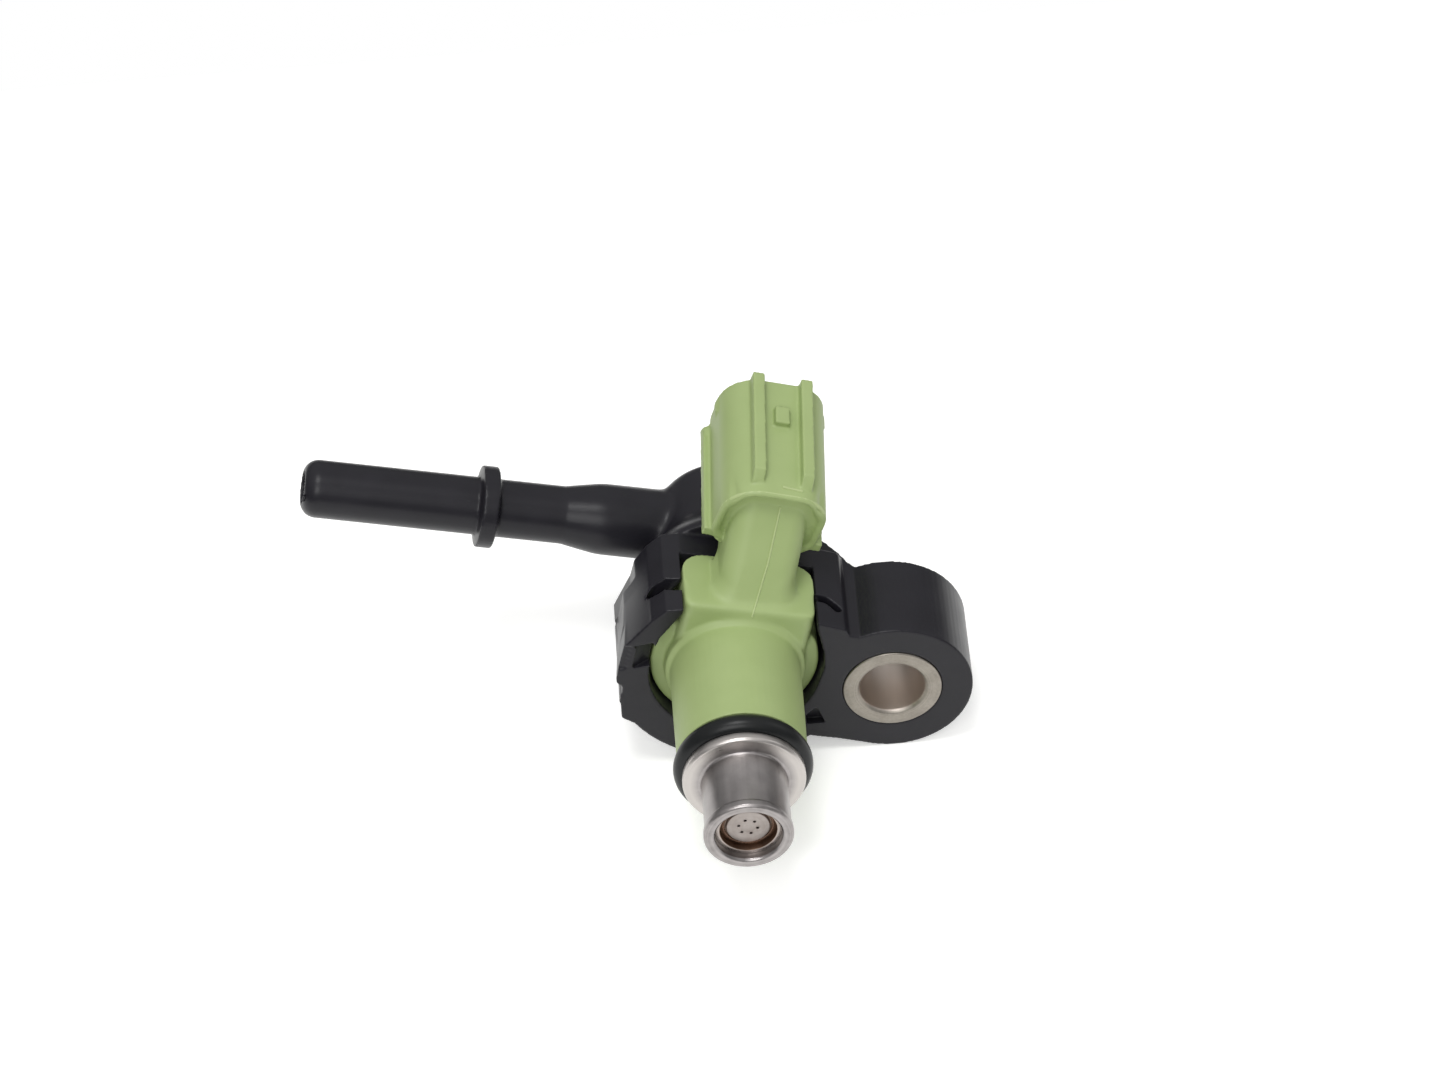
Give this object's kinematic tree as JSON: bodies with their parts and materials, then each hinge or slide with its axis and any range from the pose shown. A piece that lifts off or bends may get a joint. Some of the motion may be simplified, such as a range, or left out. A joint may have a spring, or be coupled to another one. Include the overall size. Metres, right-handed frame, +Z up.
{
  "type": "fuel injector",
  "caption": "Port fuel injector snapped into a moulded fuel joint that has a quick-connect spigot, a bolt ear with a steel collar and an angled electrical socket.",
  "frame": {"origin": "on the nozzle axis, at the front face of the flange that the nozzle tube leaves", "axes": "-Y runs out of the nozzle, +X is the way the bolt ear points and the longest extent, +Z is up with the part lying as it rests on a bench, the electrical socket on top and opening towards +Y"},
  "size_m": [0.0707, 0.0501, 0.0372],
  "materials": {
    "moulded_black": "glass-filled nylon, satin moulded",
    "moulded_green": "glass-filled nylon, satin moulded",
    "stainless": "turned and drawn stainless steel",
    "collar_steel": "plated steel, turned",
    "soft_iron": "ferritic steel, ground",
    "spring_steel": "drawn wire",
    "seal_rubber": "fluoro rubber, satin",
    "backup_plastic": "moulded, plain",
    "bobbin_plastic": "glass-filled nylon",
    "copper_wire": "enamelled copper",
    "filter_plastic": "moulded nylon",
    "terminal_metal": "tinned brass"
  },
  "bodies": {
    "root": {"fuel_joint": "moulded_black", "bolt_collar": "collar_steel", "injector_body": "moulded_green", "lower_o_ring": "seal_rubber", "upper_o_ring": "seal_rubber", "backup_ring": "backup_plastic", "nozzle_holder": "stainless", "needle_guide": "soft_iron", "valve_seat": "stainless", "orifice_plate": "stainless", "return_spring": "spring_steel", "spring_adjuster": "stainless", "pole_core": "soft_iron", "isolating_ring": "stainless", "coil_bobbin": "bobbin_plastic", "coil_winding": "copper_wire", "coil_yoke": "soft_iron", "yoke_washer": "soft_iron", "filter_frame": "filter_plastic", "filter_screen": "stainless", "terminal_left": "terminal_metal", "terminal_right": "terminal_metal"},
    "valve": {"armature": "soft_iron", "valve_needle": "soft_iron", "valve_ball": "stainless"}
  },
  "joints": [
    {"name": "valve_lift", "type": "slide", "parent": "root", "child": "valve", "axis": [0, 1, 0], "range_m": [0, 0.00008], "stiffness_N_per_m": 1500, "springref_m": -0.00002, "deforming": ["return_spring"]}
  ]
}
